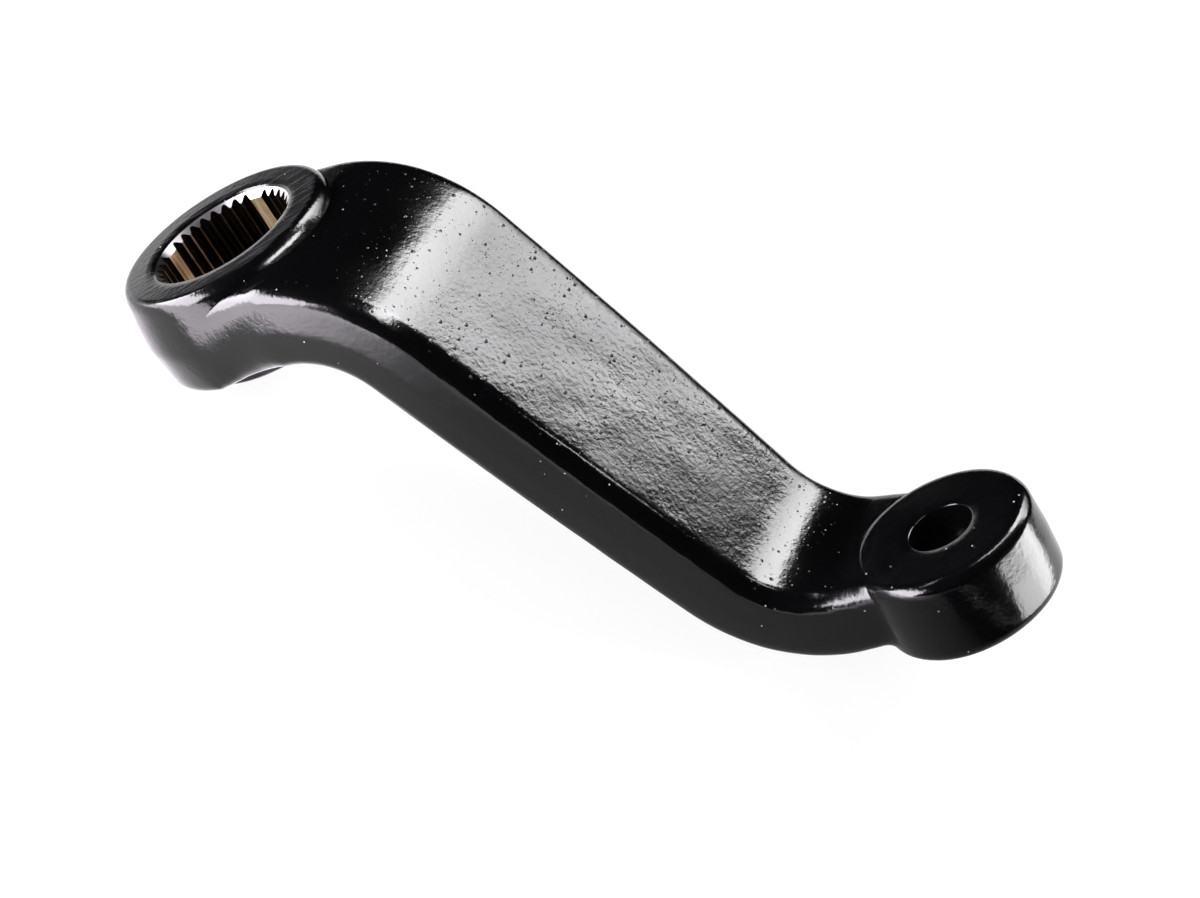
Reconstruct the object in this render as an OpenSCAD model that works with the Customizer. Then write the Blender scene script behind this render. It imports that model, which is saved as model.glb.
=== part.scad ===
// Dropped pitman arm: one solid steel forging in three stretches.
// A boss with a splined bore grips the steering box's output shaft, an S-shaped arm steps down from
// it, and an eye with a tapered hole holds the ball stud of the steering link.
// The origin is on the splined bore's axis, in the plane of its top pad. The axis is Z, and the
// arm reaches out along X. The part is symmetric about the plane y = 0.

/* [Layout] */
// Distance between the axes of the splined bore and the stud hole
centre_distance = 125.5; // [115:0.5:140]
// Drop from the top pad of the boss to the top face of the eye
drop = 111.3; // [95:0.1:120]

/* [Splined boss] */
// Boss diameter at the forging's parting line
boss_d = 54.4; // [53:0.2:60]
// Boss height from its top pad to its under pad
boss_h = 26.3; // [25:0.1:30]
// Forging draft of the boss's side below the parting line
boss_draft = 8; // [4:0.5:10]
// How far the boss's side swells out between the parting line and the top pad
boss_swell = 0.5; // [0.1:0.1:0.5]
// Rounding at the foot of the boss's side
foot_edge_r = 3.6; // [2:0.1:4]
// Diameter of the machined pad on top
pad_d = 50; // [46:0.5:51]
// Height of the top pad above the arm's top face
pad_h = 3.5; // [2.5:0.1:4.5]
// Rounding of the top pad's rim
pad_edge_r = 1.2; // [0.6:0.1:1.6]
// Radius of the hollow blend between the top pad and the arm
blend_r = 2.4; // [1.6:0.1:2.4]
// Diameter of the machined pad beneath
under_pad_d = 41; // [38:0.5:43]
// Height of the pad beneath
under_pad_h = 2; // [1:0.1:3]

/* [Spline] */
// Bore diameter across the lands between the grooves
land_d = 31; // [28:0.1:33]
// Depth of each V groove
groove_depth = 1.1; // [0.6:0.1:1.4]
// Width of each groove where it opens on the bore
groove_mouth = 1.95; // [1.4:0.05:2.1]
// Width of the flat at the bottom of each groove
groove_floor = 0.35; // [0.2:0.05:0.5]
// Pitch positions round the bore, counting the blank ones
positions = 36; // [28:4:36]
// Wide blank lands, evenly spaced
blank_lands = 4; // [1, 2, 4]
// Depth of the conical lead-in at the top
lead_in = 2; // [1.2:0.1:2.6]
// Depth of the conical lead-in beneath
low_lead_in = 1; // [0.6:0.1:2]

/* [Eye] */
// Outer diameter of the eye at the forging's parting line
eye_d = 40.6; // [38:0.2:44]
// Height of the eye between its two faces
eye_h = 20.7; // [19:0.1:24]
// Forging draft of the eye's side
eye_draft = 1.5; // [0.5:0.5:3]
// Rounding of the eye's rims
eye_edge_r = 3; // [1:0.1:3.4]
// Height of the eye's top face above the arm's top face
eye_step = 0.6; // [0.4:0.1:2]
// Stud hole diameter at the top face, where the nut sits
stud_d = 14.6; // [12:0.1:17]
// Growth of the stud hole's diameter for each millimetre downwards
stud_taper = 0.125; // [0.08:0.005:0.17]

/* [Arm] */
// How far the arm's sides lie inside the boss's sides, abreast of the bore
boss_shoulder = 0.9; // [0.8:0.1:3]
// How far the eye stands out at each side of the arm
eye_shoulder = 4.5; // [3:0.1:6]
// Thickness of the arm at the boss
root_t = 19; // [17:0.1:20]
// Thickness of the arm at the eye
tip_t = 15.8; // [14:0.1:17]
// How late the arm narrows and thins on its way to the eye, where 1 is an even taper
taper_power = 1.9; // [1:0.1:2.2]
// Level run from the bore axis to the start of the upper bend
root_run = 17.2; // [14:0.2:24]
// Level run from the end of the lower bend to the eye axis
tip_run = 22; // [18:0.2:26]
// Radius of the upper bend, to the middle of the section
upper_bend_r = 27.5; // [22:0.5:34]
// Radius of the lower bend, to the middle of the section
lower_bend_r = 28; // [24:0.5:34]
// Rounding of the arm's long edges
edge_r = 3.6; // [2.5:0.1:4.5]
// Forging draft of the arm's sides
arm_draft = 4; // [2:0.5:6]

/* [Hidden] */
$fn = 96;
// A cut runs this far past the face that it opens
over = 1;
// A blend is sunk this far into the face that it meets
bite = 0.05;
// The arm's ends stop this far short of the two axes, inside the boss and the eye
end_inset = 3;
// Steps round a bend, and round a forged edge
bend_steps = 12;
edge_steps = 4;
// Steps up the swelling side of the boss
swell_steps = 5;
// The hollow blend reaches this angle to each side of the arm's middle
blend_angle = 44;
paint = "#17181a";

boss_r = boss_d / 2;
pad_r = pad_d / 2;
under_pad_r = under_pad_d / 2;
land_r = land_d / 2;
eye_r = eye_d / 2;
stud_r = stud_d / 2;
root_w = boss_d - 2 * boss_shoulder;
tip_w = eye_d - 2 * eye_shoulder;

// Heights of the boss: the parting line and the shoulder above the under pad
boss_part_z = -pad_h - root_t / 2;
boss_foot_z = -boss_h + under_pad_h;
foot_side_z = boss_foot_z + foot_edge_r;
foot_side_r = boss_r - (boss_part_z - foot_side_z) * tan(boss_draft);

// The swelling side of the boss, from the parting line up to the rim of the top pad
swell_start = [boss_r, boss_part_z];
swell_end = [pad_r - pad_edge_r * (1 - cos(20)), -pad_edge_r * (1 - sin(20))];
function swell_point(u) = swell_start + (swell_end - swell_start) * u + [4 * boss_swell * u * (1 - u), 0];

// Heights of the eye: its top face, its parting line and its bottom face
eye_top_z = -drop;
eye_part_z = eye_top_z - eye_h / 2;
eye_low_z = eye_top_z - eye_h;
eye_rim_r = eye_r - (eye_h / 2 - eye_edge_r) * tan(eye_draft);

// The middle line of the arm: a level run, the upper bend, a straight slope, the lower bend and a
// second level run. The slope is the line that touches both bends.
root_z = -pad_h - root_t / 2;
tip_z = eye_top_z - eye_step - tip_t / 2;
bends_r = upper_bend_r + lower_bend_r;
fall = root_z - tip_z;
reach = centre_distance - root_run - tip_run;
span = sqrt(reach * reach + (fall - bends_r) * (fall - bends_r));
slope = atan2(fall - bends_r, reach) + asin(bends_r / span);
slope_len = (fall - bends_r * (1 - cos(slope))) / sin(slope);

// Lengths along the middle line, from the bore axis to the start of the slope and so on
s_slope = root_run + arc_length(upper_bend_r, slope);
s_lower = s_slope + slope_len;
s_tip = s_lower + arc_length(lower_bend_r, slope);
s_end = s_tip + tip_run;

function arc_length(r, a) = r * a * PI / 180;

// Stations along the arm, each [x, z, downward tilt, length from the bore axis]
stations = concat(
    [[end_inset, root_z, 0, end_inset]],
    [for (i = [0:bend_steps]) upper_station(slope * i / bend_steps)],
    [for (i = [0:bend_steps]) lower_station(slope * (1 - i / bend_steps))],
    [[centre_distance - end_inset, tip_z, 0, s_end - end_inset]]
);

function upper_station(a) = [
    root_run + upper_bend_r * sin(a),
    root_z - upper_bend_r * (1 - cos(a)),
    a,
    root_run + arc_length(upper_bend_r, a)
];

function lower_station(a) = [
    centre_distance - tip_run - lower_bend_r * sin(a),
    tip_z + lower_bend_r * (1 - cos(a)),
    a,
    s_tip - arc_length(lower_bend_r, a)
];

// Points of an arc about c, from angle a0 to angle a1
function arc(c, r, a0, a1) = [
    for (i = [0:edge_steps])
        let (a = a0 + (a1 - a0) * i / edge_steps)
            c + r * [cos(a), sin(a)]
];

function reversed(p) = [for (i = [len(p) - 1:-1:0]) p[i]];

// Quarter of the arm's section, top right: from the top face round the edge to the parting line
function quarter(w, t) = let (
    up = t / 2 - edge_r,
    across = w / 2 - up * tan(arm_draft) - edge_r / cos(arm_draft)
) concat(arc([across, up], edge_r, 90, arm_draft), [[w / 2, 0]]);

// Whole section, clockwise from the top right, as [across, up]
function section(w, t) = let (
    q = quarter(w, t),
    r = reversed(q),
    half = concat(q, [for (i = [1:len(r) - 1]) [r[i][0], -r[i][1]]])
) concat(half, [for (p = half) -p]);

// The section set square across the middle line at a station
function ring(st) = let (
    u = pow(st[3] / s_end, taper_power),
    w = root_w + (tip_w - root_w) * u,
    t = root_t + (tip_t - root_t) * u
) [for (p = section(w, t)) [st[0] + p[1] * sin(st[2]), p[0], st[1] + p[1] * cos(st[2])]];

// A closed skin over a row of rings that all have the same count of points
module skin(rings) {
    n = len(rings[0]);
    m = len(rings);
    points = [for (r = rings) each r];
    first = [for (j = [n - 1:-1:0]) j];
    last = [for (j = [0:n - 1]) (m - 1) * n + j];
    sides = [
        for (i = [0:m - 2], j = [0:n - 1])
            let (k = (j + 1) % n)
                each [
                    [i * n + j, (i + 1) * n + k, (i + 1) * n + j],
                    [i * n + j, i * n + k, (i + 1) * n + k]
                ]
    ];
    polyhedron(points, concat([first, last], sides));
}

// The S-shaped arm
module arm() {
    skin([for (st = stations) ring(st)]);
}

// The boss, widest at the parting line, with a machined pad on each face
module boss() {
    rotate_extrude()
        polygon(concat(
            [[0, -boss_h], [under_pad_r, -boss_h], [under_pad_r, boss_foot_z]],
            arc([foot_side_r - foot_edge_r, foot_side_z], foot_edge_r, -90, 0),
            [for (i = [0:swell_steps - 1]) swell_point(i / swell_steps)],
            arc([pad_r - pad_edge_r, -pad_edge_r], pad_edge_r, 20, 90),
            [[0, 0]]
        ));
}

// The hollow blend at the foot of the top pad, on the arm's side only
module pad_blend() {
    rotate([0, 0, -blend_angle])
        rotate_extrude(angle = 2 * blend_angle)
            polygon(concat(
                [[pad_r - blend_r, -pad_h - over], [pad_r + blend_r, -pad_h - over]],
                arc([pad_r + blend_r, -pad_h + blend_r - bite], blend_r, -90, -165),
                [[pad_r - blend_r, -pad_h + blend_r / 2]]
            ));
}

// The eye, with rounded rims
module eye() {
    translate([centre_distance, 0, 0])
        rotate_extrude()
            polygon(concat(
                [[0, eye_low_z]],
                arc([eye_rim_r - eye_edge_r, eye_low_z + eye_edge_r], eye_edge_r, -90, 0),
                [[eye_r, eye_part_z]],
                arc([eye_rim_r - eye_edge_r, eye_top_z - eye_edge_r], eye_edge_r, 0, 90),
                [[0, eye_top_z]]
            ));
}

// One V groove of the spline, cut outwards from the bore at angle 0
module groove() {
    polygon([
        [land_r - over, -groove_mouth / 2],
        [land_r, -groove_mouth / 2],
        [land_r + groove_depth, -groove_floor / 2],
        [land_r + groove_depth, groove_floor / 2],
        [land_r, groove_mouth / 2],
        [land_r - over, groove_mouth / 2]
    ]);
}

// The splined bore, with a conical lead-in at each end
module splined_bore() {
    run = positions / blank_lands;
    translate([0, 0, -boss_h - over])
        linear_extrude(boss_h + 2 * over) {
            circle(r = land_r);
            for (i = [0:positions - 1])
                if (i % run != 0)
                    rotate(360 * i / positions) groove();
        }
    translate([0, 0, -lead_in])
        cylinder(r1 = land_r, r2 = land_r + lead_in + over, h = lead_in + over);
    translate([0, 0, -boss_h - over])
        cylinder(r1 = land_r + low_lead_in + over, r2 = land_r, h = low_lead_in + over);
}

// The stud hole, narrow at the nut's side
module stud_hole() {
    translate([centre_distance, 0, eye_low_z - over])
        cylinder(
            r1 = stud_r + (eye_h + over) * stud_taper / 2,
            r2 = stud_r - over * stud_taper / 2,
            h = eye_h + 2 * over
        );
}

module pitman_arm() {
    color(paint)
        difference() {
            union() {
                boss();
                arm();
                pad_blend();
                eye();
            }
            splined_bore();
            stud_hole();
        }
}

pitman_arm();
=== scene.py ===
import math

import bpy
import numpy as np
from bpy.props import FloatProperty, FloatVectorProperty, IntProperty, PointerProperty
from bpy.types import Operator, Panel, PropertyGroup
from mathutils import Matrix, Vector


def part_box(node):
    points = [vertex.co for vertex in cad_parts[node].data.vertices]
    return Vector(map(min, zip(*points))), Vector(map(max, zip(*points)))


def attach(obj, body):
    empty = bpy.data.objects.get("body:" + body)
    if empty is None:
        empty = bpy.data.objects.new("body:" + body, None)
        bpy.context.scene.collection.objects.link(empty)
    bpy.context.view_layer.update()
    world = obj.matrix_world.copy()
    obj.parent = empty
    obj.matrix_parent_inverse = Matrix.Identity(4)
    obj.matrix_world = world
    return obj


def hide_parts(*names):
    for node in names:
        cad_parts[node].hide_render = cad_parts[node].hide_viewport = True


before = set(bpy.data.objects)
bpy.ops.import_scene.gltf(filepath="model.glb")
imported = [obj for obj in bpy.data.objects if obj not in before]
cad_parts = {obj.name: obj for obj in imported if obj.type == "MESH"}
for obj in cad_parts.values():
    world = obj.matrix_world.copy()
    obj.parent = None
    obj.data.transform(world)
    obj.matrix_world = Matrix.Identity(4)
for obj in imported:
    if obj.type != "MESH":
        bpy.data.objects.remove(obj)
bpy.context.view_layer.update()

bl_info = {
    "name": "Dropped Pitman Arm",
    "version": (1, 0, 0),
    "blender": (4, 5, 0),
    "location": "View3D > Sidebar > Pitman Arm",
    "description": "Models a forged, painted pitman arm and the studio that it lies in",
    "category": "Mesh",
}

MM = 0.001
NODE = "pitman_arm"
CAD_LOW, CAD_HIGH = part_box(NODE)


def length(name, default_mm, description):
    """A length that a user may change, given in millimetres."""
    return FloatProperty(
        name=name,
        description=description,
        default=default_mm * MM,
        min=0.0,
        precision=5,
        subtype="DISTANCE",
        unit="LENGTH",
    )


def angle(name, default_degrees, description):
    """An angle that a user may change, given in degrees."""
    return FloatProperty(
        name=name,
        description=description,
        default=math.radians(default_degrees),
        subtype="ANGLE",
        unit="ROTATION",
    )


def factor(name, default, description):
    """A plain number from 0 to 1 that a user may change."""
    return FloatProperty(
        name=name, description=description, default=default, min=0.0, max=1.0, subtype="FACTOR"
    )


def radiance(name, default, description):
    """A light's radiance that a user may change."""
    return FloatProperty(name=name, description=description, default=default, min=0.0)


def colour(name, default, description):
    """A linear colour that a user may change."""
    return FloatVectorProperty(
        name=name, description=description, default=default, size=3, min=0.0, max=1.0, subtype="COLOR"
    )


class PITMAN_PG_forging(PropertyGroup):
    """Sizes of the forging."""

    centre_distance: length("Centre distance", 125.5, "Between the axes of the bore and the stud hole")
    drop: length("Drop", 111.3, "From the top pad of the boss to the top face of the eye")
    boss_d: length("Boss diameter", CAD_HIGH.y / MM * 2, "Across the boss at the parting line")
    boss_h: length("Boss height", 26.3, "Between the boss's two pads")
    pad_d: length("Top pad diameter", 50.0, "Across the machined pad on top of the boss")
    pad_h: length("Top pad height", 2.8, "From the arm's top face to the top pad")
    under_pad_d: length("Under pad diameter", 41.0, "Across the machined pad beneath the boss")
    under_pad_h: length("Under pad height", 2.0, "How far the pad beneath stands out")
    foot_r: length("Foot rounding", 2.6, "Rounding at the foot of the boss's side")
    boss_draft: angle("Boss draft", 5.0, "Slant of the boss's side under the parting line")
    boss_swell: length("Boss swell", 0.15, "How far the boss's side swells out over the parting line")
    eye_d: length("Eye diameter", 40.6, "Across the eye at the parting line")
    eye_grow: length("Eye growth", 0.65, "How far the forged eye stands out beyond its machined radius")
    eye_h: length("Eye height", 20.7, "Between the eye's two faces")
    eye_step: length("Eye step", 0.8, "How far the eye's top stands over the arm")
    pad_edge_r: length("Pad rounding", 2.0, "Rounding of the top pad's rim")
    eye_edge_r: length("Eye rounding", 3.0, "Rounding of the eye's rims")
    boss_shoulder: length("Boss shoulder", 0.9, "How far the arm's sides lie inside the boss's")
    eye_shoulder: length("Eye shoulder", 3.6, "How far the eye stands out beside the arm")
    root_t: length("Root thickness", 20.4, "Thickness of the arm at the boss")
    tip_t: length("Tip thickness", 16.0, "Thickness of the arm at the eye")
    root_run: length("Root run", 17.2, "Level run from the bore axis to the upper bend")
    tip_run: length("Tip run", 22.0, "Level run from the lower bend to the eye axis")
    upper_bend_r: length("Upper bend radius", 27.5, "To the middle of the section")
    lower_bend_r: length("Lower bend radius", 28.0, "To the middle of the section")
    edge_r: length("Edge rounding", 3.6, "Rounding of the arm's long edges")
    arm_draft: angle("Arm draft", 4.0, "Slant of the arm's sides")
    taper_power: FloatProperty(
        name="Taper power",
        description="How late the arm narrows towards the eye",
        default=1.9,
        min=1.0,
        max=3.0,
    )
    land_d: length("Land diameter", 31.0, "Bore diameter across the lands")
    groove_depth: length("Groove depth", 1.1, "Depth of each groove of the spline")
    positions: IntProperty(name="Positions", description="Pitch positions round the bore", default=36, min=12)
    blank_lands: IntProperty(name="Blank lands", description="Wide lands round the bore", default=4, min=1)
    lead_in: length("Lead-in", 2.0, "Depth of the conical lead-in on top")
    low_lead_in: length("Low lead-in", 1.0, "Depth of the conical lead-in beneath")
    stud_d: length("Stud hole diameter", 14.6, "Stud hole at the eye's top face")
    stud_taper: factor("Stud taper", 0.125, "Growth of the stud hole's diameter along its depth")
    lip_w: length("Lip width", 0.35, "Width of the worn lip round each hole")
    lip_h: length("Lip depth", 0.12, "Depth of the worn lip round each hole")
    paint_in: length("Paint in the lead-in", 0.6, "How far the paint has run into the bore's lead-in")
    grain: length("Mesh grain", 0.62, "Size of the voxels that the forged skin is made of")
    crease_passes: IntProperty(
        name="Crease passes", description="How often the forged hollows are smoothed", default=26, min=0
    )
    wave_height: length("Wave height", 0.16, "Unevenness of the forged skin")
    wave_length: length("Wave length", 13.0, "Size of the unevenness of the forged skin")


class PITMAN_PG_finish(PropertyGroup):
    """Colours of the finishes."""

    paint: colour("Paint", (0.0014, 0.0014, 0.0016), "Gloss black paint on the forging")
    thin_paint: colour("Thin paint", (0.022, 0.0215, 0.023), "Thinner paint on the marks of the top pad")
    dust: colour("Dust", (0.42, 0.40, 0.41), "Specks of dust on the paint")
    bare_steel: colour("Bare steel", (0.62, 0.60, 0.61), "Lead-in of the bore")
    oiled_steel: colour("Oiled steel", (0.60, 0.40, 0.24), "Lands of the spline")
    # The groove colour is painted shade: near black in the spline's recessed grooves.
    groove: colour("Groove", (0.010, 0.007, 0.005), "Bottoms of the spline's grooves")


class PITMAN_PG_stage(PropertyGroup):
    """The studio."""

    floor_colour: colour("Floor", (0.82, 0.82, 0.82), "Colour of the floor")
    floor_glow: factor("Floor glow", 0.75, "Share of plain white in what is seen of the floor")
    back_light: radiance("Back light", 18.0, "Radiance of the two softboxes behind")
    right_light: radiance("Right light", 19.0, "Radiance of the low softboxes at the eye")
    left_light: radiance("Left light", 18.0, "Radiance of the left softbox")
    near_light: radiance("Near light", 14.0, "Radiance of the near softbox")
    floor_light: radiance("Floor light", 9.0, "Radiance of the lit floor")
    spark_light: radiance("Spark light", 22.0, "Radiance of the two small cards")


def only(obj):
    """Selects one object and makes it the active one."""
    bpy.ops.object.select_all(action="DESELECT")
    obj.select_set(True)
    bpy.context.view_layer.objects.active = obj


def named(name):
    """Names the primitive that was just added."""
    obj = bpy.context.active_object
    obj.name = name
    obj.data.name = name
    return obj


def settle(obj):
    """Leaves an object at the origin, with its place in its mesh and its faces pointing outwards."""
    only(obj)
    bpy.ops.object.transform_apply(location=True, rotation=True, scale=True)
    bpy.ops.object.mode_set(mode="EDIT")
    bpy.ops.mesh.select_all(action="SELECT")
    bpy.ops.mesh.remove_doubles(threshold=1e-6)
    bpy.ops.mesh.normals_make_consistent(inside=False)
    bpy.ops.object.mode_set(mode="OBJECT")
    return obj


def places(mesh):
    """The places of a mesh's vertices, one row each."""
    co = np.empty(len(mesh.vertices) * 3, np.float64)
    mesh.vertices.foreach_get("co", co)
    return co.reshape(-1, 3)


def pick(obj, chosen):
    """Selects the chosen vertices, and nothing else, and goes to edit mode."""
    if bpy.context.mode != "OBJECT":
        bpy.ops.object.mode_set(mode="OBJECT")
    only(obj)
    mesh = obj.data
    bpy.ops.object.mode_set(mode="EDIT")
    bpy.ops.mesh.select_mode(type="VERT")
    bpy.ops.mesh.select_all(action="DESELECT")
    bpy.ops.object.mode_set(mode="OBJECT")
    mesh.vertices.foreach_set("select", np.asarray(chosen, bool))
    bpy.ops.object.mode_set(mode="EDIT")


def apply_modifier(obj, name, kind, **values):
    """Adds a modifier, sets its values and applies it."""
    only(obj)
    modifier = obj.modifiers.new(name, kind)
    for key, value in values.items():
        setattr(modifier, key, value)
    bpy.ops.object.modifier_apply(modifier=modifier.name)


def combine(obj, other, operation):
    """Joins another solid to an object, or cuts it out, and removes it."""
    apply_modifier(obj, operation.lower(), "BOOLEAN", operation=operation, object=other, solver="EXACT")
    bpy.data.objects.remove(other)


def turned(name, x, rings, sides=128, hollow=False):
    """Turns a solid about an upright axis at x from rings of (radius, height), in a loop if it is hollow."""
    bpy.ops.object.select_all(action="DESELECT")
    radius, z = rings[0]
    fill = "NOTHING" if hollow else "NGON"
    bpy.ops.mesh.primitive_circle_add(vertices=sides, radius=radius, fill_type=fill, location=(x, 0, z))
    obj = named(name)
    bpy.ops.object.mode_set(mode="EDIT")
    bpy.ops.mesh.select_all(action="SELECT")
    path = rings + rings[:1] if hollow else rings
    for (r0, z0), (r1, z1) in zip(path, path[1:]):
        bpy.ops.mesh.extrude_region_move(TRANSFORM_OT_translate={"value": (0, 0, z1 - z0)})
        bpy.ops.transform.resize(value=(r1 / r0, r1 / r0, 1), center_override=(x, 0, z1))
    bpy.ops.object.mode_set(mode="OBJECT")
    return settle(obj)


def rounding(radius, z, r, first, last, steps=6):
    """Rings round a rounded rim, about the centre at radius and z, between two angles in degrees."""
    turns = [math.radians(first + (last - first) * i / steps) for i in range(steps + 1)]
    return [(radius + r * math.cos(a), z + r * math.sin(a)) for a in turns]


class Bends:
    """The middle line of the arm, worked out from the forging's sizes."""

    def __init__(self, g):
        self.root_z = -g.pad_h - g.root_t / 2
        self.tip_z = -g.drop - g.eye_step - g.tip_t / 2
        both = g.upper_bend_r + g.lower_bend_r
        fall = self.root_z - self.tip_z
        reach = g.centre_distance - g.root_run - g.tip_run
        span = math.hypot(reach, fall - both)
        self.slope = math.atan2(fall - both, reach) + math.asin(both / span)
        self.slope_length = (fall - both * (1 - math.cos(self.slope))) / math.sin(self.slope)
        self.upper_end = g.root_run + g.upper_bend_r * self.slope
        self.lower_start = self.upper_end + self.slope_length
        self.lower_end = self.lower_start + g.lower_bend_r * self.slope
        self.length = self.lower_end + g.tip_run


def bent_path(g, bends):
    """The curve that the arm is bent along: level, down and level again."""
    bpy.ops.object.select_all(action="DESELECT")
    bpy.ops.curve.primitive_bezier_curve_add(location=(0, 0, 0))
    path = named("arm_path")
    path.data.dimensions = "3D"
    path.data.twist_mode = "Z_UP"
    path.data.resolution_u = 64
    points = path.data.splines[0].bezier_points
    points.add(4)
    down = Vector((math.cos(bends.slope), 0, -math.sin(bends.slope)))
    level = Vector((1, 0, 0))
    upper_foot = Vector((g.root_run, 0, bends.root_z))
    upper_head = upper_foot + g.upper_bend_r * Vector((math.sin(bends.slope), 0, math.cos(bends.slope) - 1))
    lower_head = upper_head + bends.slope_length * down
    lower_foot = Vector((g.centre_distance - g.tip_run, 0, bends.tip_z))
    reach = 4 / 3 * math.tan(bends.slope / 4)
    third = 1 / 3
    rows = [
        (Vector((0, 0, bends.root_z)), level, third * g.root_run, third * g.root_run),
        (upper_foot, level, third * g.root_run, reach * g.upper_bend_r),
        (upper_head, down, reach * g.upper_bend_r, third * bends.slope_length),
        (lower_head, down, third * bends.slope_length, reach * g.lower_bend_r),
        (lower_foot, level, reach * g.lower_bend_r, third * g.tip_run),
        (Vector((g.centre_distance, 0, bends.tip_z)), level, third * g.tip_run, third * g.tip_run),
    ]
    for point, (place, way, before, after) in zip(points, rows):
        point.handle_left_type = "FREE"
        point.handle_right_type = "FREE"
        point.co = place
        point.handle_left = place - way * before
        point.handle_right = place + way * after
    return path


def forged_bar(g):
    """The S-shaped arm: a straight tapered bar with rounded edges, bent along its path."""
    bends = Bends(g)
    root_w = g.boss_d - 2 * g.boss_shoulder
    tip_w = g.eye_d - 2 * g.eye_shoulder
    inset = 3 * MM
    cuts = [inset]
    cuts += [g.root_run + (bends.upper_end - g.root_run) * i / 20 for i in range(21)]
    cuts += [bends.upper_end + bends.slope_length * i / 8 for i in range(1, 8)]
    cuts += [bends.lower_start + (bends.lower_end - bends.lower_start) * i / 20 for i in range(21)]
    cuts += [bends.length - inset]

    def size(s):
        u = (s / bends.length) ** g.taper_power
        return root_w + (tip_w - root_w) * u, g.root_t + (g.tip_t - g.root_t) * u

    bpy.ops.object.select_all(action="DESELECT")
    bpy.ops.mesh.primitive_plane_add(size=1, location=(cuts[0], 0, 0), rotation=(0, math.pi / 2, 0))
    bar = named("forged_bar")
    only(bar)
    bpy.ops.object.transform_apply(location=True, rotation=True, scale=True)
    bpy.ops.object.mode_set(mode="EDIT")
    bpy.ops.mesh.select_all(action="SELECT")
    width, thick = size(cuts[0])
    bpy.ops.transform.resize(value=(1, width, thick), center_override=(cuts[0], 0, 0))
    bpy.ops.mesh.bisect(plane_co=(cuts[0], 0, 0), plane_no=(0, 0, 1))
    bpy.ops.object.mode_set(mode="OBJECT")
    pick(bar, np.abs(places(bar.data)[:, 2]) > 1e-4)
    draft = 1 - thick * math.tan(g.arm_draft) / width
    bpy.ops.transform.resize(value=(1, draft, 1), center_override=(cuts[0], 0, 0))
    bpy.ops.mesh.select_all(action="SELECT")
    for s0, s1 in zip(cuts, cuts[1:]):
        (w0, t0), (w1, t1) = size(s0), size(s1)
        bpy.ops.mesh.extrude_region_move(TRANSFORM_OT_translate={"value": (s1 - s0, 0, 0)})
        bpy.ops.transform.resize(value=(1, w1 / w0, t1 / t0), center_override=(s1, 0, 0))
    bpy.ops.object.mode_set(mode="OBJECT")
    settle(bar)
    round_edges(bar, g.edge_r)
    path = bent_path(g, bends)
    apply_modifier(bar, "bend", "CURVE", object=path, deform_axis="POS_X")
    bpy.data.objects.remove(path)
    return settle(bar)


def round_edges(bar, radius):
    """Rounds the four long edges of the straight bar."""
    only(bar)
    mesh = bar.data
    bpy.ops.object.mode_set(mode="EDIT")
    bpy.ops.mesh.select_mode(type="EDGE")
    bpy.ops.mesh.select_all(action="DESELECT")
    bpy.ops.object.mode_set(mode="OBJECT")
    for edge in mesh.edges:
        a, b = (mesh.vertices[v].co for v in edge.vertices)
        edge.select = abs(a.x - b.x) > 1e-5 and abs(a.z) > 1 * MM and abs(b.z) > 1 * MM
    bpy.ops.object.mode_set(mode="EDIT")
    bpy.ops.mesh.bevel(offset=radius, offset_type="OFFSET", segments=6, profile=0.5, affect="EDGES")
    bpy.ops.mesh.select_mode(type="VERT")
    bpy.ops.object.mode_set(mode="OBJECT")


def boss_side(g):
    """Rings up the outside of the boss, from its foot to the rim of its top pad, which curves in twice."""
    part_z = -g.pad_h - g.root_t / 2
    side_z = -g.boss_h + g.under_pad_h + g.foot_r
    side_r = g.boss_d / 2 - (part_z - side_z) * math.tan(g.boss_draft)
    rings = rounding(side_r - g.foot_r, side_z, g.foot_r, -90, 0)
    flat_r = g.pad_d / 2 - 0.9 * g.pad_edge_r
    wide_start, tight_start, level = 12, 34, 90
    wide_r = 5 * MM
    tight = rounding(flat_r, -g.pad_edge_r, g.pad_edge_r, tight_start, level)
    turn = math.radians(tight_start)
    wide_x = tight[0][0] - wide_r * math.cos(turn)
    wide_z = tight[0][1] - wide_r * math.sin(turn)
    rim = rounding(wide_x, wide_z, wide_r, wide_start, tight_start, 8)[:-1] + tight
    rise = Vector(rim[0]) - Vector((g.boss_d / 2, part_z))
    steps = 14
    for step in range(steps):
        u = step / steps
        rings.append((g.boss_d / 2 + rise.x * u + 4 * g.boss_swell * u * (1 - u), part_z + rise.y * u))
    return rings + rim


def boss_core(g):
    """The forged part of the boss, which the arm's sides blend into."""
    rings = [(r, z) for r, z in boss_side(g) if z < -g.pad_h - 0.2 * MM]
    return turned("boss_core", 0, rings)


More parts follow.
